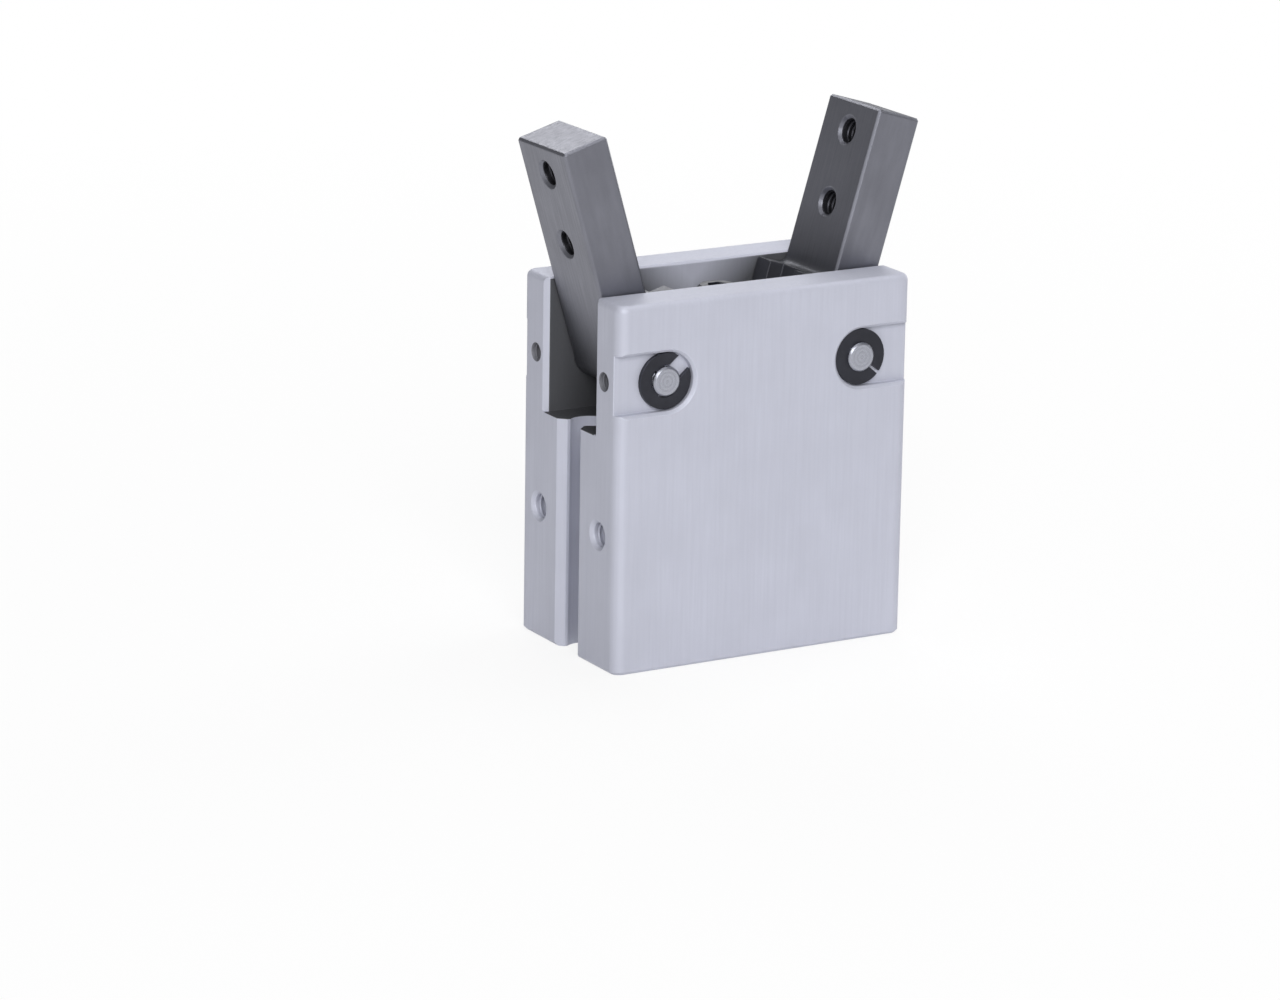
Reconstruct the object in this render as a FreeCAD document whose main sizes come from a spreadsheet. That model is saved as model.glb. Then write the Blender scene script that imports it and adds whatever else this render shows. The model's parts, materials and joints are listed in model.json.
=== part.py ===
"""Pneumatic angular gripper with two bell-crank fingers, a parametric FreeCAD document in millimetres.

Frame: the origin is the centre of the bottom face, Z runs up along the piston, X is the direction in
which the fingers open, and Y runs along the pivot shafts. The front face looks towards -Y.
The rest pose is the open gripper, with the piston at the top of its stroke.
"""
import FreeCAD
import Part
import Sketcher

import os
import re

# Driving sizes in millimetres and degrees
SIZES = {
    # Housing
    "body_width": "45",
    "bore_wall": "3",
    "corner_radius": "1.6",
    "rim_radius": "0.9",
    "rim_chamfer": "0.4",
    "slot_width": "13.2",
    "slot_chamfer": "0.3",
    "slot_mouth_chamfer": "0.7",
    "slot_depth": "18.4",
    "pivot_half_pitch": "15",
    "pivot_rise": "7.7",
    # Cylinder, from the bottom face upwards
    "ring_recess": "1",
    "cap_ring_thickness": "1",
    "cap_thickness": "5",
    "bumper_thickness": "1.6",
    "end_gap": "0.3",
    "piston_thickness": "11",
    "partition_thickness": "6.05",
    "bore_diameter": "20",
    "cap_step": "1",
    "cap_ring_depth": "0.6",
    "cap_ring_width": "1.7",
    "cap_ring_gap": "4",
    "ear_radius": "1.35",
    "ear_inset": "0.4",
    # Rod and piston details
    "rod_diameter": "8",
    "rod_spigot_diameter": "5",
    "rod_pilot_diameter": "4",
    "rod_pilot_length": "1.2",
    "nut_across_flats": "8",
    "nut_height": "3",
    "nut_cover": "1",
    "nut_recess_gap": "0.5",
    "seal_width": "2.4",
    "seal_depth": "1.7",
    "rod_seal_depth": "1.9",
    "magnet_width": "2.6",
    "land_width": "1.6",
    "bumper_inner_diameter": "11.4",
    "bumper_outer_diameter": "16",
    "cord_diameter": "1.4",
    # Finger mechanism
    "open_angle": "16.5",
    "close_angle": "5",
    "pin_half_spacing": "5",
    "finger_side_gap": "0.3",
    "finger_outer": "3.3",
    "finger_inner": "3.4",
    "finger_tip": "32.3",
    "finger_chamfer": "0.3",
    "arm_setback": "2.4",
    "arm_rise": "8.6",
    "arm_shoulder": "4.5",
    "arm_fillet": "1.2",
    "eye_wall": "1.4",
    "fork_gap": "6.2",
    "fork_root_gap": "1.3",
    "fork_clearance": "0.3",
    "drive_pin_diameter": "4",
    "shaft_diameter": "4",
    "bush_wall": "0.5",
    "joint_half_height": "4",
    "joint_end_wall": "1",
    "joint_corner": "1.3",
    "joint_screw_diameter": "3",
    "joint_screw_head_diameter": "5.5",
    "joint_screw_head_height": "3",
    "joint_screw_engagement": "6",
    "joint_screw_key": "2.5",
    # Shaft retainers
    "channel_margin": "2",
    "channel_depth": "1.3",
    "channel_chamfer": "0.4",
    "shaft_end_land": "0.5",
    "shaft_groove_depth": "0.4",
    "e_ring_thickness": "0.6",
    "e_ring_side_gap": "0.2",
    "e_ring_band": "1.6",
    "e_ring_opening": "2.5",
    "e_ring_lug_width": "1.4",
    "e_ring_lug_spread": "75",
    "set_screw_diameter": "2.5",
    "set_screw_recess": "2",
    "set_screw_key": "1.3",
    # Mounting holes, ports and switch grooves
    "mount_drill_diameter": "3.3",
    "mount_depth": "8",
    "mount_chamfer": "0.45",
    "base_pitch_x": "32",
    "base_pitch_y": "16",
    "side_pitch": "16",
    "side_height": "18.2",
    "finger_hole_from_tip": "4",
    "finger_hole_pitch": "10",
    "port_drill_diameter": "4.2",
    "port_floor": "0.5",
    "port_inset": "1.2",
    "passage_diameter": "1.8",
    "groove_throat": "4.4",
    "groove_lip": "1",
    "groove_centre_depth": "3.2",
    "groove_diameter": "5.6",
    # Clearances, each on one side
    "running_clearance": "0.05",
    "seat_clearance": "0.02",
    "piston_clearance": "0.15",
    "pin_clearance": "0.06",
    "overcut": "2",
}

# Sizes that follow from the driving ones
FORMULAS = {
    "body_depth": "bore_diameter + 2 * bore_wall",
    "finger_width": "slot_width - 2 * finger_side_gap",
    "lever_length": "pivot_half_pitch - pin_half_spacing",
    "arm_reach": "lever_length - arm_setback",
    "nut_recess_depth": "nut_height + nut_cover",
    "joint_width": "fork_gap - 2 * fork_clearance",
    "swing_angle": "open_angle + close_angle",
    "pin_drop_angle": "(open_angle - close_angle) / 2",
    "stroke": "2 * lever_length * sin(swing_angle / 2)",
    "cap_ring_top": "ring_recess + cap_ring_thickness",
    "cap_top": "cap_ring_top + cap_thickness",
    "lower_stop": "cap_top + bumper_thickness + end_gap",
    "piston_bottom": "lower_stop + stroke",
    "piston_top": "piston_bottom + piston_thickness",
    "bore_top": "piston_top + end_gap + bumper_thickness",
    "slot_floor": "bore_top + partition_thickness",
    "body_height": "slot_floor + slot_depth",
    "pivot_height": "slot_floor + pivot_rise",
    "bore_radius": "bore_diameter / 2",
    "cap_radius": "bore_radius + cap_step",
    "cap_ring_radius": "cap_radius + cap_ring_depth",
    "rod_radius": "rod_diameter / 2",
    "pin_radius": "drive_pin_diameter / 2",
    "shaft_radius": "shaft_diameter / 2",
    "bush_radius": "shaft_radius + bush_wall",
    "boss_radius": "finger_outer",
    "eye_radius": "pin_radius + eye_wall",
    "pin_reach": "lever_length * cos(pin_drop_angle)",
    "pin_sink": "lever_length * sin(pin_drop_angle)",
    "rest_pin_x": "pivot_half_pitch - lever_length * cos(swing_angle / 2)",
    "rest_pin_height": "pivot_height + stroke / 2",
    "pin_slot_centre": "(rest_pin_x + pin_half_spacing) / 2",
    "pin_slot_half": "(rest_pin_x - pin_half_spacing) / 2 + 2 * pin_clearance",
    "pin_slot_radius": "pin_radius + pin_clearance",
    "joint_half_length": "pin_slot_centre + pin_slot_half + pin_slot_radius + joint_end_wall",
    "fork_root": "pivot_half_pitch - joint_half_length - fork_root_gap",
    "joint_bottom": "rest_pin_height - joint_half_height",
    "joint_top": "rest_pin_height + joint_half_height",
    "eye_corner_distance": "sqrt((pin_reach - arm_reach)^2 + (pin_sink + arm_shoulder)^2)",
    "eye_corner_angle": "atan2(-pin_sink - arm_shoulder; pin_reach - arm_reach)",
    "slope_angle": "eye_corner_angle + asin(eye_radius / eye_corner_distance)",
    "slope_length": "sqrt(eye_corner_distance^2 - eye_radius^2)",
    "belly_angle": "-pin_drop_angle * 1 deg - acos((boss_radius - eye_radius) / lever_length)",
    "channel_height": "shaft_diameter + 2 * channel_margin",
    "channel_floor": "body_depth / 2 - channel_depth",
    "shaft_half_length": "channel_floor + e_ring_thickness + shaft_end_land",
    "shaft_groove_radius": "shaft_radius - shaft_groove_depth",
    "e_ring_radius": "channel_height / 2 - e_ring_side_gap",
    "set_screw_radius": "set_screw_diameter / 2",
    "set_screw_length": "body_width / 2 - pivot_half_pitch - shaft_radius - set_screw_recess",
    "cheek_middle": "(slot_width / 2 + channel_floor) / 2",
    "port_offset": "bore_radius - port_inset",
    "port_radius": "port_drill_diameter / 2",
    "port_bottom": "sqrt(cap_radius^2 - (port_offset - port_radius)^2) + port_floor",
    "port_depth": "body_depth / 2 - port_bottom",
    "lower_port_height": "cap_top + bumper_thickness / 2",
    "upper_port_height": "bore_top - bumper_thickness / 2",
}

ALONG = {
    "+X": FreeCAD.Rotation(FreeCAD.Vector(0, 1, 0), 90),
    "-X": FreeCAD.Rotation(FreeCAD.Vector(0, 1, 0), -90),
    "+Y": FreeCAD.Rotation(FreeCAD.Vector(1, 0, 0), -90),
    "-Y": FreeCAD.Rotation(FreeCAD.Vector(1, 0, 0), 90),
    "+Z": FreeCAD.Rotation(),
}

doc = FreeCAD.newDocument("angular_gripper")


def make_sheet():
    """Writes the driving sizes and the formulas to a sheet, one alias for each."""
    sheet = doc.addObject("Spreadsheet::Sheet", "sizes")
    row = 1
    for alias, text in SIZES.items():
        sheet.set(f"A{row}", alias)
        sheet.set(f"B{row}", text)
        sheet.setAlias(f"B{row}", alias)
        row += 1
    for alias, text in FORMULAS.items():
        sheet.set(f"A{row}", alias)
        sheet.set(f"B{row}", f"={text}")
        sheet.setAlias(f"B{row}", alias)
        row += 1
    doc.recompute()
    return sheet


def formula(text):
    """Turns a text with aliases into an expression that other objects understand."""

    def point_at_sheet(match):
        word = match.group(0)
        return f"sizes.{word}" if word in SIZES or word in FORMULAS else word

    return re.sub(r"[a-z_]+", point_at_sheet, str(text))


def value(text):
    """The present number of a text with aliases."""
    return float(doc.getObject("sizes").evalExpression(formula(text)))


def bind(target, **formulas):
    """Binds properties of an object to the sheet."""
    for name, text in formulas.items():
        target.setExpression(name, formula(text))


def place(target, x="0", y="0", z="0"):
    """Binds the position of an object to the sheet."""
    for axis, text in (("x", x), ("y", y), ("z", z)):
        target.setExpression(f"Placement.Base.{axis}", formula(text))


def cylinder(name, radius, length, x="0", y="0", z="0", along="+Z"):
    """A cylinder that starts at a point and runs along an axis."""
    made = doc.addObject("Part::Cylinder", name)
    made.Placement.Rotation = ALONG[along]
    bind(made, Radius=radius, Height=length)
    place(made, x, y, z)
    return made


def cone(name, first_radius, last_radius, length, x="0", y="0", z="0", along="+Z"):
    """A cone that starts at a point and runs along an axis."""
    made = doc.addObject("Part::Cone", name)
    made.Placement.Rotation = ALONG[along]
    bind(made, Radius1=first_radius, Radius2=last_radius, Height=length)
    place(made, x, y, z)
    return made


def box(name, length, width, height, x="0", y="0", z="0"):
    """A box centred on x and y that stands on z."""
    made = doc.addObject("Part::Box", name)
    bind(made, Length=length, Width=width, Height=height)
    place(made, f"({x}) - ({length}) / 2", f"({y}) - ({width}) / 2", z)
    return made


def hexagon(name, across_flats, height, x="0", y="0", z="0", along="+Z"):
    """A six-sided prism that starts at a point and runs along an axis."""
    made = doc.addObject("Part::Prism", name)
    made.Polygon = 6
    made.Placement.Rotation = ALONG[along]
    bind(made, Circumradius=f"({across_flats}) / 2 / cos(30)", Height=height)
    place(made, x, y, z)
    return made


def fuse(name, shapes):
    """One object out of several."""
    made = doc.addObject("Part::MultiFuse", name)
    made.Shapes = shapes
    return made


def cut(name, base, tools):
    """A base with the tools taken away."""
    made = doc.addObject("Part::Cut", name)
    made.Base = base
    made.Tool = tools[0] if len(tools) == 1 else fuse(f"{name}_tools", tools)
    return made


def drilled(name, radius, depth, chamfer, x, y, z, along):
    """The tools of a drilled hole with a chamfered mouth at a point."""
    shank = cylinder(f"{name}_shank", radius, depth, x, y, z, along)
    mouth = cone(f"{name}_mouth", f"({radius}) + {chamfer}", radius, chamfer, x, y, z, along)
    return [shank, mouth]


def plane(body, role):
    """One of a body's own origin planes."""
    return next(feature for feature in body.Origin.OriginFeatures if feature.Role == role)


def sketch_on(body, name, role, points=(), circles=()):
    """A fully constrained sketch of one polygon and of circles, each bound to the sheet."""
    sketch = body.newObject("Sketcher::SketchObject", name)
    sketch.AttachmentSupport = [(plane(body, role), "")]
    sketch.MapMode = "FlatFace"
    places = [FreeCAD.Vector(value(x), value(y), 0) for x, y in points]
    for number, start in enumerate(places):
        sketch.addGeometry(Part.LineSegment(start, places[(number + 1) % len(places)]), False)
    for number, (x, y) in enumerate(points):
        following = (number + 1) % len(points)
        sketch.addConstraint(Sketcher.Constraint("Coincident", number, 2, following, 1))
        for kind, text in (("DistanceX", x), ("DistanceY", y)):
            index = sketch.addConstraint(Sketcher.Constraint(kind, -1, 1, number, 1, value(text)))
            sketch.setExpression(f"Constraints[{index}]", formula(text))
    for x, y, radius in circles:
        centre = FreeCAD.Vector(value(x), value(y), 0)
        circle = Part.Circle(centre, FreeCAD.Vector(0, 0, 1), value(radius))
        number = sketch.addGeometry(circle, False)
        for kind, text in (("DistanceX", x), ("DistanceY", y)):
            index = sketch.addConstraint(Sketcher.Constraint(kind, -1, 1, number, 3, value(text)))
            sketch.setExpression(f"Constraints[{index}]", formula(text))
        index = sketch.addConstraint(Sketcher.Constraint("Radius", number, value(radius)))
        sketch.setExpression(f"Constraints[{index}]", formula(radius))
    return sketch


def turned(name, points):
    """A body of revolution about Z, from an outline of radius and height."""
    body = doc.addObject("PartDesign::Body", name)
    sketch = sketch_on(body, f"{name}_outline", "XZ_Plane", points)
    revolution = body.newObject("PartDesign::Revolution", f"{name}_turn")
    revolution.Profile = sketch
    revolution.ReferenceAxis = (sketch, ["V_Axis"])
    revolution.Angle = 360
    return body


def ring(name, inner, outer, bottom, top):
    """A plain turned ring."""
    return turned(name, [(inner, bottom), (outer, bottom), (outer, top), (inner, top)])


def both_ways(body, kind, name, sketch, length):
    """A pad or a pocket that goes the same way to both sides of its sketch."""
    made = body.newObject(f"PartDesign::{kind}", name)
    made.Profile = sketch
    made.SideType = "Symmetric"
    bind(made, Length=length)
    return made


def edges_where(feature, wanted):
    """The names of a feature's edges whose two end points both pass a test."""
    doc.recompute()
    names = []
    for number, edge in enumerate(feature.Shape.Edges, start=1):
        if all(wanted(vertex.Point) for vertex in edge.Vertexes):
            names.append(f"Edge{number}")
    return names


def round_edges(feature, radius):
    """The names of a feature's full circles of one radius."""
    doc.recompute()
    names = []
    for number, edge in enumerate(feature.Shape.Edges, start=1):
        if edge.Closed and isinstance(edge.Curve, Part.Circle) and near(edge.Curve.Radius, radius):
            names.append(f"Edge{number}")
    return names


def running_along(feature, names, axis):
    """Those of a feature's edges whose end points differ along an axis."""
    kept = []
    for name in names:
        first, last = (vertex.Point for vertex in feature.Shape.getElement(name).Vertexes)
        if not near(getattr(first, axis), getattr(last, axis)):
            kept.append(name)
    return kept


def near(first, second):
    """Whether two lengths agree."""
    return abs(first - second) < 1e-4


# Housing
def make_block():
    """The outer block with rounded corners and broken rims."""
    block = doc.addObject("PartDesign::Body", "block")
    half_x = "body_width / 2"
    half_y = "body_depth / 2"
    corners = [
        (f"-{half_x}", f"-{half_y}"),
        (half_x, f"-{half_y}"),
        (half_x, half_y),
        (f"-{half_x}", half_y),
    ]
    pad = block.newObject("PartDesign::Pad", "block_pad")
    pad.Profile = sketch_on(block, "block_outline", "XY_Plane", corners)
    bind(pad, Length="body_height")
    all_edges = edges_where(pad, lambda point: True)
    rounding = block.newObject("PartDesign::Fillet", "block_corners")
    rounding.Base = (pad, running_along(pad, all_edges, "z"))
    bind(rounding, Radius="corner_radius")
    lower_rim = block.newObject("PartDesign::Chamfer", "block_lower_rim")
    lower_rim.Base = (rounding, edges_where(rounding, lambda point: near(point.z, 0)))
    bind(lower_rim, Size="rim_chamfer")
    height = value("body_height")
    upper_rim = block.newObject("PartDesign::Fillet", "block_upper_rim")
    upper_rim.Base = (lower_rim, edges_where(lower_rim, lambda point: near(point.z, height)))
    bind(upper_rim, Radius="rim_radius")
    return block


def bore_tool():
    """What is bored from below: the cap seat, the snap ring groove, the bore, and the rod hole."""
    rod_hole = "rod_radius + running_clearance"
    seal_middle = "bore_top + partition_thickness / 2"
    seal_bottom = f"{seal_middle} - seal_width / 2"
    seal_top = f"{seal_middle} + seal_width / 2"
    seal_radius = f"{rod_hole} + rod_seal_depth"
    return turned("bore_tool", [
        ("0", "-overcut"),
        ("cap_radius", "-overcut"),
        ("cap_radius", "ring_recess"),
        ("cap_ring_radius", "ring_recess"),
        ("cap_ring_radius", "cap_ring_top"),
        ("cap_radius", "cap_ring_top"),
        ("cap_radius", "cap_top"),
        ("bore_radius", "cap_top"),
        ("bore_radius", "bore_top"),
        (rod_hole, "bore_top"),
        (rod_hole, seal_bottom),
        (seal_radius, seal_bottom),
        (seal_radius, seal_top),
        (rod_hole, seal_top),
        (rod_hole, "slot_floor + overcut"),
        ("0", "slot_floor + overcut"),
    ])


def slot_tool():
    """The finger slot across the whole width, with broken rims at the top."""
    half = "slot_width / 2"
    body = doc.addObject("PartDesign::Body", "finger_slot")
    outline = sketch_on(body, "finger_slot_outline", "YZ_Plane", [
        (f"-{half}", "slot_floor"),
        (half, "slot_floor"),
        (half, "body_height - slot_chamfer"),
        (f"{half} + slot_chamfer + overcut", "body_height + overcut"),
        (f"-{half} - slot_chamfer - overcut", "body_height + overcut"),
        (f"-{half}", "body_height - slot_chamfer"),
    ])
    both_ways(body, "Pad", "finger_slot_pad", outline, "body_width + 2 * overcut")
    return body


def slot_mouth(name, side):
    """The widened end of the finger slot at a narrow side."""
    half = "slot_width / 2"
    inside = f"{side} * (body_width / 2 - slot_mouth_chamfer)"
    outside = f"{side} * (body_width / 2 + overcut)"
    flare = "(slot_mouth_chamfer + overcut)"
    body = doc.addObject("PartDesign::Body", name)
    pad = body.newObject("PartDesign::Pad", f"{name}_pad")
    pad.Profile = sketch_on(body, f"{name}_outline", "XY_Plane", [
        (inside, f"-{half}"),
        (outside, f"-{half} - {flare}"),
        (outside, f"{half} + {flare}"),
        (inside, half),
    ])
    bind(pad, Length="slot_depth + overcut")
    place(body, z="slot_floor")
    return body


def groove_tools(name, side):
    """One switch groove down the middle of a narrow side: a chamfered throat and a round bottom."""
    face = f"{side} * body_width / 2"
    throat = doc.addObject("PartDesign::Body", f"{name}_throat")
    half = "groove_throat / 2"
    lip_x = f"{face} - {side} * groove_lip"
    deep_x = f"{face} - {side} * groove_centre_depth"
    out_x = f"{face} + {side} * groove_lip"
    pad = throat.newObject("PartDesign::Pad", f"{name}_throat_pad")
    pad.Profile = sketch_on(throat, f"{name}_throat_outline", "XY_Plane", [
        (deep_x, f"-{half}"),
        (lip_x, f"-{half}"),
        (out_x, f"-{half} - 2 * groove_lip"),
        (out_x, f"{half} + 2 * groove_lip"),
        (lip_x, half),
        (deep_x, half),
    ])
    length = "slot_floor + 2 * overcut"
    bind(pad, Length=length)
    place(throat, z="-overcut")
    bottom = cylinder(f"{name}_bottom", "groove_diameter / 2", length, deep_x, "0", "-overcut")
    return [throat, bottom]


def pivot_tools(name, side):
    """One pivot shaft hole through both cheeks, with a chamfered retainer channel at each end."""
    x = f"{side} * pivot_half_pitch"
    tools = [cylinder(
        f"{name}_hole",
        "shaft_radius + seat_clearance",
        "body_depth + 2 * overcut",
        x,
        "-body_depth / 2 - overcut",
        "pivot_height",
        "+Y",
    )]
    reach = "(body_width / 2 - pivot_half_pitch + overcut)"
    for end, along in (("-1", "-Y"), ("1", "+Y")):
        face_name = f"{name}_{'front' if end == '-1' else 'back'}"
        floor = f"{end} * channel_floor"
        tools.append(cylinder(
            f"{face_name}_round",
            "channel_height / 2",
            "channel_depth + overcut",
            x,
            floor,
            "pivot_height",
            along,
        ))
        tools.append(box(
            f"{face_name}_channel",
            reach,
            "channel_depth + overcut",
            "channel_height",
            f"{x} + {side} * {reach} / 2",
            f"{floor} + {end} * (channel_depth + overcut) / 2",
            "pivot_height - channel_height / 2",
        ))
        edge = "channel_height / 2"
        flare = "(channel_chamfer + overcut)"
        start = f"{end} * (body_depth / 2 - channel_chamfer)"
        outside = f"{end} * (body_depth / 2 + overcut)"
        tools.append(cone(
            f"{face_name}_round_mouth", edge, f"{edge} + {flare}", flare, x, start, "pivot_height", along
        ))
        mouth = doc.addObject("PartDesign::Body", f"{face_name}_mouth")
        outline = sketch_on(mouth, f"{face_name}_mouth_outline", "YZ_Plane", [
            (start, f"-{edge}"),
            (outside, f"-{edge} - {flare}"),
            (outside, f"{edge} + {flare}"),
            (start, edge),
        ])
        both_ways(mouth, "Pad", f"{face_name}_mouth_pad", outline, reach)
        place(mouth, f"{x} + {side} * {reach} / 2", z="pivot_height")
        tools.append(mouth)
    return tools


def make_body():
    """The housing: one aluminium block with its bores, slot, grooves and tapped holes."""
    tools = [bore_tool()]
    tools.append(slot_tool())
    drill = "mount_drill_diameter / 2"
    for side, inward in (("-1", "+X"), ("1", "-X")):
        name = "left" if side == "-1" else "right"
        face = f"{side} * body_width / 2"
        tools.append(slot_mouth(f"{name}_slot_mouth", side))
        tools += groove_tools(f"{name}_groove", side)
        tools += pivot_tools(f"{name}_pivot", side)
        for end in ("-1", "1"):
            place_name = f"{name}_{'front' if end == '-1' else 'back'}"
            y = f"{end} * side_pitch / 2"
            side_hole = f"{place_name}_side_hole"
            tools += drilled(side_hole, drill, "mount_depth", "mount_chamfer", face, y, "side_height", inward)
            base_hole = f"{place_name}_base_hole"
            x = f"{side} * base_pitch_x / 2"
            y = f"{end} * base_pitch_y / 2"
            tools += drilled(base_hole, drill, "mount_depth", "mount_chamfer", x, y, "0", "+Z")
            tools.append(cylinder(
                f"{place_name}_set_hole",
                "set_screw_radius + seat_clearance",
                "body_width / 2 - pivot_half_pitch",
                face,
                f"{end} * cheek_middle",
                "pivot_height",
                inward,
            ))
    for name, height in (("lower", "lower_port_height"), ("upper", "upper_port_height")):
        tools += drilled(
            f"{name}_port",
            "port_radius",
            "port_depth",
            "mount_chamfer",
            "port_offset",
            "body_depth / 2",
            height,
            "-Y",
        )
        tools.append(cylinder(
            f"{name}_passage",
            "passage_diameter / 2",
            "port_bottom + port_depth / 2",
            "port_offset",
            "port_bottom + port_depth / 2",
            height,
            "-Y",
        ))
    return cut("body", make_block(), tools)


# Cylinder pieces
def make_end_cap():
    """The cap that closes the cylinder, with a groove for its sealing ring."""
    radius = "cap_radius - running_clearance"
    groove_bottom = "cap_top - cap_thickness / 2 - cord_diameter / 2 - seat_clearance"
    groove_top = "cap_top - cap_thickness / 2 + cord_diameter / 2 + seat_clearance"
    groove_radius = f"{radius} - cord_diameter - seat_clearance"
    return turned("end_cap", [
        ("0", "cap_ring_top"),
        (f"{radius} - rim_chamfer", "cap_ring_top"),
        (radius, "cap_ring_top + rim_chamfer"),
        (radius, groove_bottom),
        (groove_radius, groove_bottom),
        (groove_radius, groove_top),
        (radius, groove_top),
        (radius, "cap_top"),
        ("0", "cap_top"),
    ])


def make_end_cap_seal():
    """The sealing ring in the cap's groove, an eight-sided section."""
    middle = "cap_top - cap_thickness / 2"
    half = "cord_diameter / 2"
    corner = "cord_diameter / 4"
    outer = "cap_radius - running_clearance"
    inner = f"{outer} - cord_diameter"
    return turned("end_cap_seal", [
        (f"{inner} + {corner}", f"{middle} - {half}"),
        (f"{outer} - {corner}", f"{middle} - {half}"),
        (outer, f"{middle} - {corner}"),
        (outer, f"{middle} + {corner}"),
        (f"{outer} - {corner}", f"{middle} + {half}"),
        (f"{inner} + {corner}", f"{middle} + {half}"),
        (inner, f"{middle} + {corner}"),
        (inner, f"{middle} - {corner}"),
    ])


def make_end_cap_ring():
    """The inner snap ring under the cap, with a gap and two plier ears."""
    outer = "cap_ring_radius - running_clearance"
    inner = f"({outer} - cap_ring_width)"
    ear_offset = "((cap_ring_gap + ear_radius) / 2)"
    base = "ring_recess"
    thick = "cap_ring_thickness"
    band = cut("cap_ring_band", cylinder("cap_ring_disc", outer, thick, z=base), [
        cylinder("cap_ring_middle", inner, thick, z=base),
        box("cap_ring_opening", "cap_ring_gap", "cap_radius", thick, y="-cap_radius", z=base),
    ])
    ears = []
    eyes = []
    for side in ("-1", "1"):
        x = f"{side} * {ear_offset}"
        y = f"-sqrt(({inner} - ear_inset)^2 - {ear_offset}^2)"
        name = "left" if side == "-1" else "right"
        ears.append(cylinder(f"{name}_ear", "ear_radius", thick, x, y, base))
        eyes.append(cylinder(f"{name}_ear_eye", "ear_radius / 2", thick, x, y, base))
    return cut("end_cap_snap_ring", fuse("cap_ring_with_ears", [band] + ears), eyes)


def make_piston():
    """The piston, with grooves for its seal and its magnet and a recess for the rod nut."""
    radius = "bore_radius - piston_clearance"
    groove_radius = f"{radius} - seal_depth"
    magnet_bottom = "piston_bottom + land_width"
    magnet_top = f"{magnet_bottom} + magnet_width"
    seal_top = "piston_top - land_width"
    seal_bottom = f"{seal_top} - seal_width"
    hole = "rod_spigot_diameter / 2 + seat_clearance"
    recess = "nut_across_flats / 2 / cos(30) + nut_recess_gap"
    return turned("piston", [
        (hole, "piston_top"),
        (f"{radius} - rim_chamfer", "piston_top"),
        (radius, "piston_top - rim_chamfer"),
        (radius, seal_top),
        (groove_radius, seal_top),
        (groove_radius, seal_bottom),
        (radius, seal_bottom),
        (radius, magnet_top),
        (groove_radius, magnet_top),
        (groove_radius, magnet_bottom),
        (radius, magnet_bottom),
        (radius, "piston_bottom + rim_chamfer"),
        (f"{radius} - rim_chamfer", "piston_bottom"),
        (recess, "piston_bottom"),
        (recess, "piston_bottom + nut_recess_depth"),
        (hole, "piston_bottom + nut_recess_depth"),
    ])


def make_piston_seal():
    """The seal in the upper groove of the piston."""
    inner = "bore_radius - piston_clearance - seal_depth + seat_clearance"
    bottom = "piston_top - land_width - seal_width + seat_clearance"
    top = "piston_top - land_width - seat_clearance"
    return ring("piston_seal", inner, "bore_radius - running_clearance", bottom, top)


def make_magnet_ring():
    """The switch magnet in the lower groove of the piston."""
    inner = "bore_radius - piston_clearance - seal_depth + seat_clearance"
    bottom = "piston_bottom + land_width + seat_clearance"
    top = "piston_bottom + land_width + magnet_width - seat_clearance"
    return ring("magnet_ring", inner, "bore_radius - 2 * piston_clearance", bottom, top)


def make_piston_rod():
    """The rod, with a spigot for the piston and its nut, and a pilot and a tapped hole for the joint."""
    hole = "joint_screw_diameter / 2 + seat_clearance"
    hole_bottom = "joint_bottom - joint_screw_engagement - joint_screw_diameter"
    spigot = "rod_spigot_diameter / 2"
    spigot_bottom = "piston_bottom + nut_recess_depth - nut_height"
    return turned("piston_rod", [
        ("0", spigot_bottom),
        (f"{spigot} - rim_chamfer", spigot_bottom),
        (spigot, f"{spigot_bottom} + rim_chamfer"),
        (spigot, "piston_top"),
        ("rod_radius", "piston_top"),
        ("rod_radius", "joint_bottom - rim_chamfer"),
        ("rod_radius - rim_chamfer", "joint_bottom"),
        ("rod_pilot_diameter / 2", "joint_bottom"),
        ("rod_pilot_diameter / 2", "joint_bottom + rod_pilot_length"),
        (hole, "joint_bottom + rod_pilot_length"),
        (hole, hole_bottom),
        ("0", f"{hole_bottom} - {hole}"),
    ])


def make_piston_nut():
    """The nut that holds the piston on the rod."""
    bottom = "piston_bottom + nut_recess_depth - nut_height"
    blank = hexagon("nut_blank", "nut_across_flats", "nut_height", z=bottom)
    hole = cylinder("nut_hole", "rod_spigot_diameter / 2 + seat_clearance", "nut_height", z=bottom)
    return cut("piston_nut", blank, [hole])


def make_rod_seal():
    """The rod seal in the partition between the cylinder and the finger slot."""
    middle = "bore_top + partition_thickness / 2"
    half = "(seal_width / 2 - seat_clearance)"
    inner = "rod_radius + running_clearance"
    outer = f"{inner} + rod_seal_depth - seat_clearance"
    return ring("rod_seal", inner, outer, f"{middle} - {half}", f"{middle} + {half}")


def make_bumper(name, bottom):
    """A stop ring at one end of the piston's stroke."""
    top = f"{bottom} + bumper_thickness"
    return ring(name, "bumper_inner_diameter / 2", "bumper_outer_diameter / 2", bottom, top)


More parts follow.
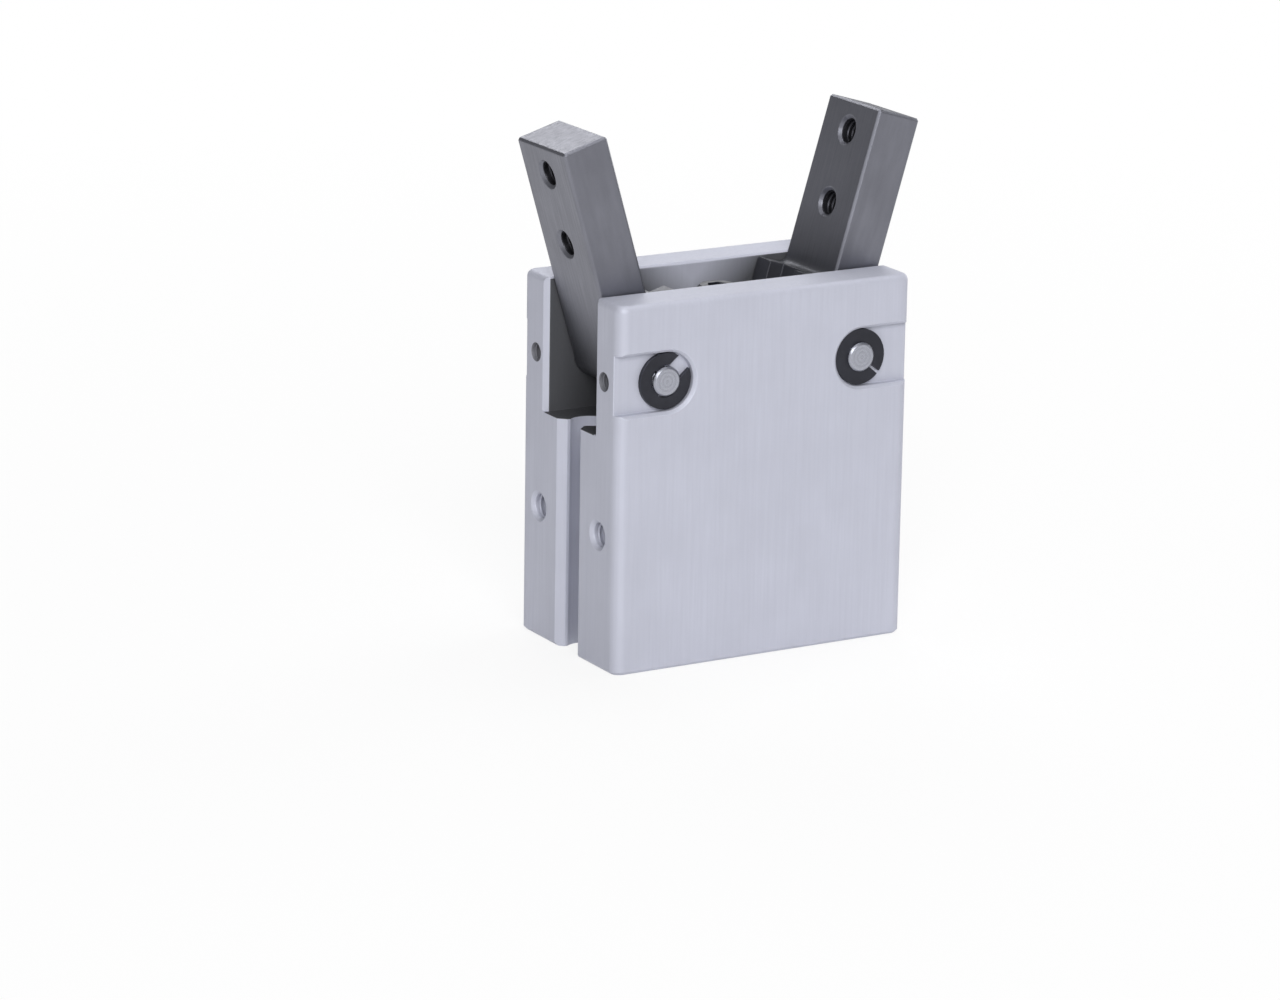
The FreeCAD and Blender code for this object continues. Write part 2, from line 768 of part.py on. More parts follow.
# Joint between the rod and the fingers
def make_joint():
    """The block on the rod with a long hole for each drive pin."""
    half_x = "joint_half_length"
    block = doc.addObject("PartDesign::Body", "joint_block")
    outline = sketch_on(block, "joint_outline", "XZ_Plane", [
        (f"-{half_x}", "joint_bottom"),
        (half_x, "joint_bottom"),
        (half_x, "joint_top"),
        (f"-{half_x}", "joint_top"),
    ])
    pad = both_ways(block, "Pad", "joint_pad", outline, "joint_width")
    reach = value("joint_half_length")
    ends = edges_where(pad, lambda point: near(point.x, reach))
    ends += edges_where(pad, lambda point: near(point.x, -reach))
    rounding = block.newObject("PartDesign::Fillet", "joint_corners")
    rounding.Base = (pad, running_along(pad, ends, "y"))
    bind(rounding, Radius="joint_corner")
    tools = []
    length = "joint_width + 2 * overcut"
    start = f"-({length}) / 2"
    for side in ("-1", "1"):
        name = "left" if side == "-1" else "right"
        middle = f"{side} * pin_slot_centre"
        for end in ("-1", "1"):
            x = f"{middle} + {end} * pin_slot_half"
            end_name = "first" if end == "-1" else "last"
            tools.append(cylinder(
                f"{name}_pin_slot_{end_name}", "pin_slot_radius", length, x, start, "rest_pin_height", "+Y"
            ))
        tools.append(box(
            f"{name}_pin_slot",
            "2 * pin_slot_half",
            length,
            "2 * pin_slot_radius",
            middle,
            "0",
            "rest_pin_height - pin_slot_radius",
        ))
    tools.append(cylinder(
        "joint_screw_hole",
        "joint_screw_diameter / 2 + running_clearance",
        "2 * joint_half_height + overcut",
        z="joint_bottom",
    ))
    tools.append(cylinder(
        "joint_pilot_hole",
        "rod_pilot_diameter / 2 + seat_clearance",
        "rod_pilot_length + seat_clearance + overcut",
        z="joint_bottom - overcut",
    ))
    return cut("joint", block, tools)


def make_joint_screw():
    """The socket head screw that holds the joint on the rod."""
    head = "joint_screw_head_diameter / 2"
    top = "joint_top + joint_screw_head_height"
    shank = "joint_screw_diameter / 2"
    tip = "joint_bottom - joint_screw_engagement"
    blank = turned("joint_screw_blank", [
        ("0", tip),
        (f"{shank} - rim_chamfer", tip),
        (shank, f"{tip} + rim_chamfer"),
        (shank, "joint_top"),
        (head, "joint_top"),
        (head, f"{top} - rim_chamfer"),
        (f"{head} - rim_chamfer", top),
        ("0", top),
    ])
    socket_floor = f"{top} - {shank}"
    socket = hexagon("joint_screw_socket", "joint_screw_key", "joint_screw_head_height", z=socket_floor)
    return cut("joint_screw", blank, [socket])


# Fingers
def make_finger(name, side):
    """One bell-crank finger: a blade, a pivot boss, and a forked arm that carries the drive pin.

    The outline is drawn about the pivot with the blade upright, u towards the middle and v up, and
    the finished finger is then turned outwards by the open angle.
    """
    body = doc.addObject("PartDesign::Body", name)

    def at(u, v):
        return (f"-{side} * ({u})", v)

    belly = ("cos(belly_angle)", "sin(belly_angle)")
    outline = sketch_on(body, f"{name}_outline", "XZ_Plane", [
        at("-finger_outer", "finger_tip"),
        at("finger_inner", "finger_tip"),
        at("finger_inner", "arm_rise"),
        at("arm_reach", "arm_rise"),
        at("arm_reach", "arm_shoulder"),
        at("arm_reach + slope_length * cos(slope_angle)", "arm_shoulder + slope_length * sin(slope_angle)"),
        at("pin_reach", "-pin_sink"),
        at(f"pin_reach + eye_radius * {belly[0]}", f"-pin_sink + eye_radius * {belly[1]}"),
        at(f"boss_radius * {belly[0]}", f"boss_radius * {belly[1]}"),
        at("0", "0"),
        at("-finger_outer", "0"),
    ])
    blank = both_ways(body, "Pad", f"{name}_blade", outline, "finger_width")
    corner_x = value(f"-{side} * finger_inner")
    corner_z = value("arm_rise")
    inner_corner = edges_where(blank, lambda point: near(point.x, corner_x) and near(point.z, corner_z))
    rounding = body.newObject("PartDesign::Fillet", f"{name}_root")
    rounding.Base = (blank, inner_corner)
    bind(rounding, Radius="arm_fillet")
    tip = value("finger_tip")
    blade_edges = edges_where(rounding, lambda point: near(point.z, tip))
    for face_x in (value(f"{side} * finger_outer"), value(f"-{side} * finger_inner")):
        face_edges = edges_where(rounding, lambda point: near(point.x, face_x))
        blade_edges += running_along(rounding, face_edges, "z")
    chamfer = body.newObject("PartDesign::Chamfer", f"{name}_rims")
    chamfer.Base = (rounding, blade_edges)
    bind(chamfer, Size="finger_chamfer")
    doc.recompute()

    boss = sketch_on(body, f"{name}_boss_outline", "XZ_Plane", circles=[(*at("0", "0"), "boss_radius")])
    both_ways(body, "Pad", f"{name}_boss", boss, "finger_width")
    eye = sketch_on(
        body, f"{name}_eye_outline", "XZ_Plane", circles=[(*at("pin_reach", "-pin_sink"), "eye_radius")]
    )
    both_ways(body, "Pad", f"{name}_eye", eye, "finger_width")
    fork = sketch_on(body, f"{name}_fork_outline", "XZ_Plane", [
        at("fork_root", "-lever_length"),
        at("2 * lever_length", "-lever_length"),
        at("2 * lever_length", "arm_rise + overcut"),
        at("fork_root", "arm_rise + overcut"),
    ])
    both_ways(body, "Pocket", f"{name}_fork", fork, "fork_gap")
    bores = sketch_on(body, f"{name}_bores_outline", "XZ_Plane", circles=[
        (*at("0", "0"), "bush_radius + seat_clearance"),
        (*at("pin_reach", "-pin_sink"), "pin_radius + seat_clearance"),
    ])
    both_ways(body, "Pocket", f"{name}_bores", bores, "finger_width + overcut")
    holes = sketch_on(body, f"{name}_holes_outline", "YZ_Plane", circles=[
        ("0", "finger_tip - finger_hole_from_tip", "mount_drill_diameter / 2"),
        ("0", "finger_tip - finger_hole_from_tip - finger_hole_pitch", "mount_drill_diameter / 2"),
    ])
    drilled_blade = both_ways(
        body, "Pocket", f"{name}_holes", holes, "2 * finger_outer + 2 * finger_inner + overcut"
    )
    mouths = body.newObject("PartDesign::Chamfer", f"{name}_mouths")
    mouths.Base = (drilled_blade, round_edges(drilled_blade, value("mount_drill_diameter / 2")))
    bind(mouths, Size="mount_chamfer")

    outwards = FreeCAD.Vector(0, 1 if side == "1" else -1, 0)
    body.Placement = FreeCAD.Placement(FreeCAD.Vector(), FreeCAD.Rotation(outwards, value("open_angle")))
    body.setExpression("Placement.Rotation.Angle", formula("open_angle"))
    place(body, f"{side} * pivot_half_pitch", "0", "pivot_height")
    return body


def lay_along_y(body, x, z):
    """Lays a turned body that is centred on its origin along Y, at a point of the mechanism."""
    body.Placement.Rotation = ALONG["+Y"]
    place(body, x, "0", z)
    return body


def make_pivot_bush(name, side):
    """The plain bush pressed into a finger's boss."""
    half = "finger_width / 2"
    made = ring(name, "shaft_radius + running_clearance", "bush_radius", f"-{half}", half)
    return lay_along_y(made, f"{side} * pivot_half_pitch", "pivot_height")


def make_drive_pin(name, side):
    """The pin across a finger's fork, which runs in the joint's long hole."""
    half = "(finger_width / 2 - seat_clearance)"
    made = turned(name, [
        ("0", f"-{half}"),
        ("pin_radius - rim_chamfer", f"-{half}"),
        ("pin_radius", f"-{half} + rim_chamfer"),
        ("pin_radius", f"{half} - rim_chamfer"),
        ("pin_radius - rim_chamfer", half),
        ("0", half),
    ])
    return lay_along_y(made, f"{side} * rest_pin_x", "rest_pin_height")


def make_pivot_shaft(name, side):
    """The shaft that a finger turns on, with a retainer groove near each end."""
    half = "shaft_half_length"
    groove_in = "channel_floor - seat_clearance"
    groove_out = "channel_floor + e_ring_thickness + seat_clearance"
    made = turned(name, [
        ("0", f"-{half}"),
        ("shaft_radius - shaft_end_land / 2", f"-{half}"),
        ("shaft_radius", f"-{half} + shaft_end_land / 2"),
        ("shaft_radius", f"-({groove_out})"),
        ("shaft_groove_radius", f"-({groove_out})"),
        ("shaft_groove_radius", f"-({groove_in})"),
        ("shaft_radius", f"-({groove_in})"),
        ("shaft_radius", groove_in),
        ("shaft_groove_radius", groove_in),
        ("shaft_groove_radius", groove_out),
        ("shaft_radius", groove_out),
        ("shaft_radius", f"{half} - shaft_end_land / 2"),
        ("shaft_radius - shaft_end_land / 2", half),
        ("0", half),
    ])
    return lay_along_y(made, f"{side} * pivot_half_pitch", "pivot_height")


# Shaft retainers
def make_e_ring(name, side, end, turn):
    """A retainer that was pushed on from the side: a C-shaped band with three lugs in the shaft's groove.

    It is drawn about Z with its opening towards +X, then laid on the channel floor and turned.
    """
    thick = "e_ring_thickness"
    inner = "(e_ring_radius - e_ring_band)"
    lug_tip = "(shaft_groove_radius + seat_clearance)"
    disc = cylinder(f"{name}_disc", "e_ring_radius", thick)
    band = cut(f"{name}_band", disc, [cylinder(f"{name}_middle", inner, thick)])
    lugs = []
    spread = value("e_ring_lug_spread")
    for number, angle in enumerate((spread, 180, -spread), start=1):
        lug = doc.addObject("Part::Box", f"{name}_lug_{number}")
        bind(lug, Length="e_ring_radius - e_ring_band / 2", Width="e_ring_lug_width", Height=thick)
        swing = FreeCAD.Rotation(FreeCAD.Vector(0, 0, 1), angle)
        lug.Placement.Rotation = swing
        across = swing.multVec(FreeCAD.Vector(0, 1, 0))
        place(lug, f"{-across.x / 2} * e_ring_lug_width", f"{-across.y / 2} * e_ring_lug_width")
        lugs.append(lug)
    whole = fuse(f"{name}_whole", [band] + lugs)
    made = cut(name, whole, [
        cylinder(f"{name}_seat", lug_tip, thick),
        box(f"{name}_opening", "2 * e_ring_radius", "e_ring_opening", thick, "e_ring_radius"),
    ])
    flat = ALONG["-Y" if end == "-1" else "+Y"]
    made.Placement.Rotation = flat.multiply(FreeCAD.Rotation(FreeCAD.Vector(0, 0, 1), turn))
    place(made, f"{side} * pivot_half_pitch", f"{end} * channel_floor", "pivot_height")
    return made


def make_set_screw(name, side, end):
    """A headless screw that keeps a pivot shaft from turning."""
    along = "+X" if side == "1" else "-X"
    start = f"{side} * (pivot_half_pitch + shaft_radius + seat_clearance)"
    y = f"{end} * cheek_middle"
    length = "set_screw_length"
    blank = cylinder(f"{name}_blank", "set_screw_radius", length, start, y, "pivot_height", along)
    socket = hexagon(
        f"{name}_socket",
        "set_screw_key",
        f"{length} / 2",
        f"{start} + {side} * {length} / 2",
        y,
        "pivot_height",
        along,
    )
    return cut(name, blank, [socket])


def make_all():
    """Every sub-part of the gripper."""
    parts = [
        make_body(),
        make_end_cap(),
        make_end_cap_seal(),
        make_end_cap_ring(),
        make_bumper("lower_bumper", "cap_top"),
        make_bumper("upper_bumper", "bore_top - bumper_thickness"),
        make_rod_seal(),
        make_piston(),
        make_piston_seal(),
        make_magnet_ring(),
        make_piston_rod(),
        make_piston_nut(),
        make_joint(),
        make_joint_screw(),
    ]
    # The way each retainer's opening points, in degrees from +X about its own outward axis
    opening_turn = {"left_front": 40, "left_back": -20, "right_front": -40, "right_back": 190}
    for side_name, side in (("left", "-1"), ("right", "1")):
        parts.append(make_finger(f"{side_name}_finger", side))
        parts.append(make_pivot_bush(f"{side_name}_pivot_bush", side))
        parts.append(make_drive_pin(f"{side_name}_drive_pin", side))
        parts.append(make_pivot_shaft(f"{side_name}_pivot_shaft", side))
        for end_name, end in (("front", "-1"), ("back", "1")):
            corner = f"{side_name}_{end_name}"
            parts.append(make_e_ring(f"{corner}_e_ring", side, end, opening_turn[corner]))
            parts.append(make_set_screw(f"{corner}_set_screw", side, end))
    return parts


def export(parts):
    """Writes each sub-part to a file of its own, named by its label."""
    os.makedirs("parts", exist_ok=True)
    for part in parts:
        if "Invalid" in part.State or "Error" in part.State:
            raise RuntimeError(f"{part.Label} did not build: {part.State}")
        if not part.Shape.isValid() or not part.Shape.Solids:
            raise RuntimeError(f"{part.Label} is not a valid solid")
        part.Shape.exportStep(os.path.join("parts", f"{part.Label}.step"))


make_sheet()
all_parts = make_all()
doc.recompute()
export(all_parts)
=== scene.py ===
"""Blender scene for the pneumatic angular gripper: surface finishes, threads, light and camera.

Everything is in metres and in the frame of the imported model: Z runs up along the piston, X is the
opening direction of the fingers, and the front face looks towards -Y.
"""
import json
import math

import bmesh
import bpy
from mathutils import Matrix, Vector


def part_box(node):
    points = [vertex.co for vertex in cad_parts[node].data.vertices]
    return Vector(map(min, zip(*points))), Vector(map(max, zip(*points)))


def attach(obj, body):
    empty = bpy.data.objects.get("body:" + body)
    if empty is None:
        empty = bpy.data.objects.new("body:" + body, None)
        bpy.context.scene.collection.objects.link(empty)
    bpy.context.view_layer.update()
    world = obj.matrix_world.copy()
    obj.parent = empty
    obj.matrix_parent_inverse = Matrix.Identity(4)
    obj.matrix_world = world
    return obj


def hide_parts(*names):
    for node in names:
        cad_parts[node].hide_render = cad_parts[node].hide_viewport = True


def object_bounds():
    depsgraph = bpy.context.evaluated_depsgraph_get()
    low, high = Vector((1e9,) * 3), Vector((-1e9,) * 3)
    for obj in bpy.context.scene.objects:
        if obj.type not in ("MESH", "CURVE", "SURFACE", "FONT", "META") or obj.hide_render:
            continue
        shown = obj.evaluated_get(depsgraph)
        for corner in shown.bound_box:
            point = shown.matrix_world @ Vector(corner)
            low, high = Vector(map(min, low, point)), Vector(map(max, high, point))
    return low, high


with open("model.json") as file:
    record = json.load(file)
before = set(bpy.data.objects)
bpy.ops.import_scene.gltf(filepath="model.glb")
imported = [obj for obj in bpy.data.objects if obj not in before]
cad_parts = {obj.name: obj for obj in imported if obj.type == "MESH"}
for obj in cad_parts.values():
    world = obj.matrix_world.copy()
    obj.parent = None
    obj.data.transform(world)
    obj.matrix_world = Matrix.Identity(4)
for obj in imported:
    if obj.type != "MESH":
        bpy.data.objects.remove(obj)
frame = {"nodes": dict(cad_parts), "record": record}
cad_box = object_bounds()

# Sizes and places, worked out from the frame
MM = 0.001
slot_depth = 18.5 * MM
slot_gap = 0.35 * MM
screw_gap = 0.02 * MM
record = frame["record"]
mounts = {mount["name"]: mount for mount in record["mounts"]}
joints = {joint["name"]: joint for joint in record["behaviour"]["joints"]}
body_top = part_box("body")[1].z
slot_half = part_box("right_finger")[1].y + slot_gap
slot_floor = body_top - slot_depth
screw_low, screw_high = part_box("right_back_set_screw")
screw_centre = (screw_low + screw_high) / 2
screw_hole_radius = (screw_high.y - screw_low.y) / 2 + screw_gap

# The sockets of a mix node that carry its share, its two colours and the mixed colour
MIX_SHARE = 0
MIX_FIRST = 6
MIX_SECOND = 7
MIX_RESULT = 2

# The range in which most of a noise lies
NOISE_LOW = 0.3
NOISE_HIGH = 0.7

# The marks of every finish, per metre, and their finer layers
CLOUD_MARKS = 140.0
CLOUD_DETAIL = 3.0
SPECKLE_MARKS = 5200.0
SPECKLE_DETAIL = 2.0
GRAIN_DETAIL = 4.0

# How strongly the marks show in the colour, the roughness and the relief
LINE_SHARE = 0.5
LINE_TONE = 1.6
GRAIN_GLOSS = 0.06
SPECKLE_GLOSS = 0.03
RELIEF_HEIGHT = 0.002 * MM

# The most that an edge is lightened, partly as rubbed wear and partly as a painted highlight, and the
# cosine of its bend where it is lightened and where it is plain
EDGE_SHARE = 0.8
EDGE_RUBBED_AND_HIGHLIT = 0.86
EDGE_PLAIN = 0.995
EDGE_SAMPLES = 6


# Shader helpers
def srgb(red, green, blue):
    """A colour written as 0 to 255 on screen, as the linear values that shaders take."""
    linear = []
    for level in (red, green, blue):
        share = level / 255
        linear.append(share / 12.92 if share <= 0.04045 else ((share + 0.055) / 1.055) ** 2.4)
    return (*linear, 1.0)


def node(tree, kind, settings=None, inputs=None):
    """A new shader node; an input is a plain value or a socket to link from."""
    made = tree.nodes.new(kind)
    for name, value in (settings or {}).items():
        setattr(made, name, value)
    for name, value in (inputs or {}).items():
        if isinstance(value, bpy.types.NodeSocket):
            tree.links.new(value, made.inputs[name])
        else:
            made.inputs[name].default_value = value
    return made


def spread(tree, value, low, high, start=NOISE_LOW, end=NOISE_HIGH):
    """A value that goes from low to high while the given one goes from start to end."""
    return node(tree, "ShaderNodeMapRange", inputs={
        "Value": value, "From Min": start, "From Max": end, "To Min": low, "To Max": high,
    }).outputs["Result"]


def scaled(color, factor):
    """A colour made lighter or darker."""
    return (*(min(1.0, channel * factor) for channel in color[:3]), 1.0)


def blend_colors(tree, share, first, second):
    """A colour that goes from the first to the second with a share."""
    inputs = {MIX_SHARE: share, MIX_FIRST: first, MIX_SECOND: second}
    return node(tree, "ShaderNodeMix", {"data_type": "RGBA"}, inputs).outputs[MIX_RESULT]


def noise(tree, where, scale, detail):
    """Plain noise with so many marks per metre and so many finer layers."""
    inputs = {"Vector": where, "Scale": scale, "Detail": detail}
    return node(tree, "ShaderNodeTexNoise", inputs=inputs).outputs["Fac"]


def vector_math(tree, operation, *vectors):
    """A step of vector arithmetic."""
    return node(tree, "ShaderNodeVectorMath", {"operation": operation}, dict(enumerate(vectors))).outputs


def math_step(tree, operation, *values):
    """A step of arithmetic on plain values."""
    return node(tree, "ShaderNodeMath", {"operation": operation}, dict(enumerate(values))).outputs[0]


def off_axis(tree, where, centre, axis):
    """The distance from an axis through a point, or from that axis mirrored to the other sides."""
    folded = vector_math(tree, "ABSOLUTE", where)["Vector"]
    offset = vector_math(tree, "SUBTRACT", folded, centre)["Vector"]
    across = vector_math(tree, "CROSS_PRODUCT", offset, axis)["Vector"]
    return vector_math(tree, "LENGTH", across)["Value"]


def rings_about(tree, where, centre, axis, per_metre):
    """Turned rings round an axis, from 0 to 1."""
    distance = off_axis(tree, where, centre, axis)
    phase = math_step(tree, "MULTIPLY", distance, 2 * math.pi * per_metre)
    return spread(tree, math_step(tree, "SINE", phase), 0.0, 1.0, start=-1.0, end=1.0)


def grain_lines(tree, where, grain, lean):
    """Noise drawn out into lines, with so many marks per metre along X, Y and Z, and turned about Y."""
    leaning = {"Vector": where, "Angle": lean}
    turned = node(tree, "ShaderNodeVectorRotate", {"rotation_type": "Y_AXIS"}, leaning).outputs["Vector"]
    drawn_out = node(tree, "ShaderNodeMapping", inputs={"Vector": turned, "Scale": grain})
    return noise(tree, drawn_out.outputs["Vector"], 1.0, GRAIN_DETAIL)


def slot_share(tree, where, dark, clean, slope):
    """How far a point lies down inside the finger slot, from 0 at the clean height to 1 at the dark one.

    Both heights fall by the slope, in metres for each metre that the point lies off the middle.
    """
    parts = node(tree, "ShaderNodeSeparateXYZ", inputs={"Vector": where}).outputs
    across = math_step(tree, "ABSOLUTE", parts["Y"])
    off_middle = math_step(tree, "ABSOLUTE", parts["X"])
    level = math_step(tree, "MULTIPLY_ADD", off_middle, slope, parts["Z"])
    inside = math_step(tree, "LESS_THAN", across, slot_half)
    above = math_step(tree, "GREATER_THAN", parts["Z"], slot_floor)
    shown = math_step(tree, "MULTIPLY", inside, above)
    return math_step(tree, "MULTIPLY", shown, spread(tree, level, 1.0, 0.0, dark, clean))


def hole_share(tree, where, centre, axis, radius):
    """1 inside a round hole, and 0 elsewhere."""
    return math_step(tree, "LESS_THAN", off_axis(tree, where, centre, axis), radius)


def finish(name, color, metallic, roughness, grain=None, rings=None, tone=0.10, edge=1.25,
           soft=0.25 * MM, lean=0.0, painted_shades=()):
    """A surface with grain or turned rings, a cloudy tone, and lighter edges that are partly rubbed wear
    and partly a painted highlight.

    grain is the number of marks per metre along X, Y and Z, rings the place, axis and number per metre
    of turned rings, tone the share by which the colour varies, edge the lightening of the edges by rubbed
    wear and a painted highlight, soft the radius of the edges, lean the turn of the grain about Y, and
    the last argument the colours of painted shade in the slot and in holes, each with the function that
    says where the shade lies and what it needs.
    """
    made = bpy.data.materials.new(name)
    made.use_nodes = True
    tree = made.node_tree
    shader = tree.nodes["Principled BSDF"]
    where = node(tree, "ShaderNodeTexCoord").outputs["Object"]
    fine = rings_about(tree, where, *rings) if rings else grain_lines(tree, where, grain, lean)
    cloud = noise(tree, where, CLOUD_MARKS, CLOUD_DETAIL)
    speckle = noise(tree, where, SPECKLE_MARKS, SPECKLE_DETAIL)
    darker = scaled(color, 1 - tone)
    lighter = scaled(color, 1 + tone)
    line_color = scaled(color, 1 - LINE_TONE * tone)
    toned = blend_colors(tree, spread(tree, cloud, 0.0, 1.0), darker, lighter)
    lined = blend_colors(tree, spread(tree, fine, 0.0, LINE_SHARE), toned, line_color)
    rounded = node(tree, "ShaderNodeBevel", {"samples": EDGE_SAMPLES}, {"Radius": soft}).outputs["Normal"]
    facing = node(tree, "ShaderNodeNewGeometry").outputs["Normal"]
    bend = vector_math(tree, "DOT_PRODUCT", rounded, facing)["Value"]
    # Edges are lightened: partly rubbed wear, partly a painted highlight
    rubbed_and_highlit = spread(tree, bend, EDGE_SHARE, 0.0, EDGE_RUBBED_AND_HIGHLIT, EDGE_PLAIN)
    shade = blend_colors(tree, rubbed_and_highlit, lined, scaled(color, edge))
    # Painted shade: darker colour laid where shade falls inside the slot and in holes
    for painted_shade_color, share, *place in painted_shades:
        shade = blend_colors(tree, share(tree, where, *place), shade, painted_shade_color)
    tree.links.new(shade, shader.inputs["Base Color"])
    grain_gloss = spread(tree, fine, roughness - GRAIN_GLOSS, roughness + GRAIN_GLOSS)
    speckle_gloss = spread(tree, speckle, -SPECKLE_GLOSS, SPECKLE_GLOSS)
    gloss = math_step(tree, "ADD", grain_gloss, speckle_gloss)
    tree.links.new(gloss, shader.inputs["Roughness"])
    relief = node(tree, "ShaderNodeBump", inputs={
        "Strength": 1.0, "Distance": RELIEF_HEIGHT, "Height": math_step(tree, "ADD", fine, speckle),
        "Normal": rounded,
    }).outputs["Normal"]
    tree.links.new(relief, shader.inputs["Normal"])
    shader.inputs["Metallic"].default_value = metallic
    return made


# Painted shade inside the finger slot, on the fingers next to it and inside the set-screw and finger
# holes: it runs a little past each hole's wall, and its heights are given from the body's top
hole_shade_overlap = 0.04 * MM
# Painted shade on the slot walls, darker deeper down the slot and further off its middle
wall_slope = -0.9
wall_painted_shade = (srgb(80, 81, 85), slot_share, body_top - 11.0 * MM, body_top - 2.5 * MM, wall_slope)
# Painted shade on the fingers, darker lower down and nearer the middle, where the slot shades them
finger_slope = 2.0
finger_painted_shade = (srgb(92, 93, 99), slot_share, body_top + 26.0 * MM, body_top + 40.0 * MM, finger_slope)
# Painted shade inside the set-screw holes
screw_hole_painted_shade = (srgb(128, 129, 136), hole_share, screw_centre, (1.0, 0.0, 0.0), screw_hole_radius + hole_shade_overlap)
finger_painted_shades = [finger_painted_shade]
# Painted shade inside the fingers' tapped holes
for hole in ("outer", "inner"):
    mount = mounts[f"right_finger_{hole}_hole"]
    radius = mount["dims"]["r_mm"] * MM + hole_shade_overlap
    finger_painted_shades.append((srgb(72, 72, 78), hole_share, mount["pos_m"], mount["axis"], radius))


# Surface finishes, one for each material slot of the record
def even(marks):
    """Grain that is alike in all directions."""
    return (marks, marks, marks)


shaft_rings = (joints["right_finger_pivot"]["pos_m"], (0.0, 1.0, 0.0), 1800.0)
cap_rings = ((0.0, 0.0, 0.0), (0.0, 0.0, 1.0), 2500.0)
upright_grain = (2600.0, 2600.0, 90.0)
turned_grain = (300.0, 300.0, 4000.0)
finger_grain = (900.0, 2800.0, 160.0)
finishes = {
    "housing": finish("anodised_aluminium", srgb(190, 192, 205), metallic=0.30, roughness=0.60,
                      grain=upright_grain, tone=0.03, painted_shades=[wall_painted_shade, screw_hole_painted_shade]),
    "cap": finish("turned_cap", srgb(186, 187, 194), metallic=0.6, roughness=0.40, rings=cap_rings),
    "piston_alloy": finish("turned_alloy", srgb(180, 181, 186), metallic=0.7, roughness=0.38,
                           grain=turned_grain),
    "ground_steel": finish("bright_ground_steel", srgb(168, 170, 180), metallic=0.9, roughness=0.30,
                           rings=shaft_rings, tone=0.05),
    "plated_steel": finish("plated_steel", srgb(166, 166, 170), metallic=0.85, roughness=0.36,
                           grain=even(800.0), tone=0.05),
    "black_steel": finish("black_oxide", srgb(44, 45, 53), metallic=0.5, roughness=0.40,
                          grain=even(1500.0), tone=0.15, edge=2.2, soft=0.12 * MM),
    "bronze": finish("sintered_bronze", srgb(164, 122, 68), metallic=0.8, roughness=0.42,
                     grain=even(6000.0), tone=0.14),
    "seal_rubber": finish("seal_rubber", srgb(32, 32, 33), metallic=0.0, roughness=0.62,
                          grain=even(2500.0), tone=0.12, edge=1.4),
    "bumper": finish("bumper_urethane", srgb(172, 132, 60), metallic=0.0, roughness=0.50,
                     grain=even(700.0)),
    "magnet": finish("bonded_magnet", srgb(58, 58, 61), metallic=0.2, roughness=0.66,
                     grain=even(4500.0), tone=0.16),
}
open_lean = math.radians(16.5)
finger_finishes = {}
for side, lean in (("left", open_lean), ("right", -open_lean)):
    finger_finishes[f"{side}_finger"] = finish(
        f"{side}_finger_steel", srgb(130, 131, 140), metallic=0.92, roughness=0.46, grain=finger_grain,
        tone=0.08, edge=1.0, lean=lean, painted_shades=finger_painted_shades
    )
slots = {part["node"]: part["material_slot"] for part in record["subparts"]}
for name, cad_object in frame["nodes"].items():
    cad_object.data.materials.clear()
    cad_object.data.materials.append(finger_finishes.get(name) or finishes[slots[name]])


# Small pieces
def new_piece(name, shape, body, material):
    """A mesh object that rides on a body."""
    mesh = bpy.data.meshes.new(name)
    shape.to_mesh(mesh)
    shape.free()
    mesh.materials.append(material)
    made = bpy.data.objects.new(name, mesh)
    bpy.context.scene.collection.objects.link(made)
    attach(made, body)
    return made


def swept(sections):
    """A closed solid through a row of sections that have the same number of points."""
    shape = bmesh.new()
    last = None
    for points in sections:
        section = [shape.verts.new(point) for point in points]
        if last:
            for corner in range(len(section)):
                after = (corner + 1) % len(section)
                shape.faces.new((last[corner], last[after], section[after], section[corner]))
        else:
            shape.faces.new(section[::-1])
        last = section
    shape.faces.new(last)
    bmesh.ops.recalc_face_normals(shape, faces=shape.faces)
    return shape


def thread(name, centre, axis, wall_radius, pitch, length, body="housing", slot="housing",
           material=finishes["housing"]):
    """The crests of a screw thread: a three-sided ridge wound along the wall of a tapped hole.

    One turn has so many steps around, and the ridge fades in and out over its first and last turns.
    """
    around = 28
    crest_height = 0.28 * pitch
    foot = 0.42 * pitch
    sunk = 0.04 * MM
    winds = int((length - 2 * foot) / pitch * around)
    lift = Vector(axis).normalized().to_track_quat("Z", "Y").to_matrix().to_4x4()
    place = Matrix.Translation(Vector(centre)) @ lift
    sections = []
    for step in range(winds + 1):
        turn = 2 * math.pi * step / around
        along = -winds * pitch / around / 2 + pitch * step / around
        fade = min(1.0, step / around, (winds - step) / around)
        section = []
        for inward, shift in ((-sunk, -foot), (crest_height * fade, 0.0), (-sunk, foot)):
            radius = wall_radius - inward
            point = Vector((radius * math.cos(turn), radius * math.sin(turn), along + shift))
            section.append(place @ point)
        sections.append(section)
    new_piece(name, swept(sections), body, material)


def mount_thread(name, mount, pitch, **carrier):
    """The thread of a mount that is one tapped hole, centred on the mount's own place."""
    dims = mount["dims"]
    length = dims["length_mm"] * MM
    thread(name, mount["pos_m"], mount["axis"], dims["r_mm"] * MM, pitch, length, **carrier)


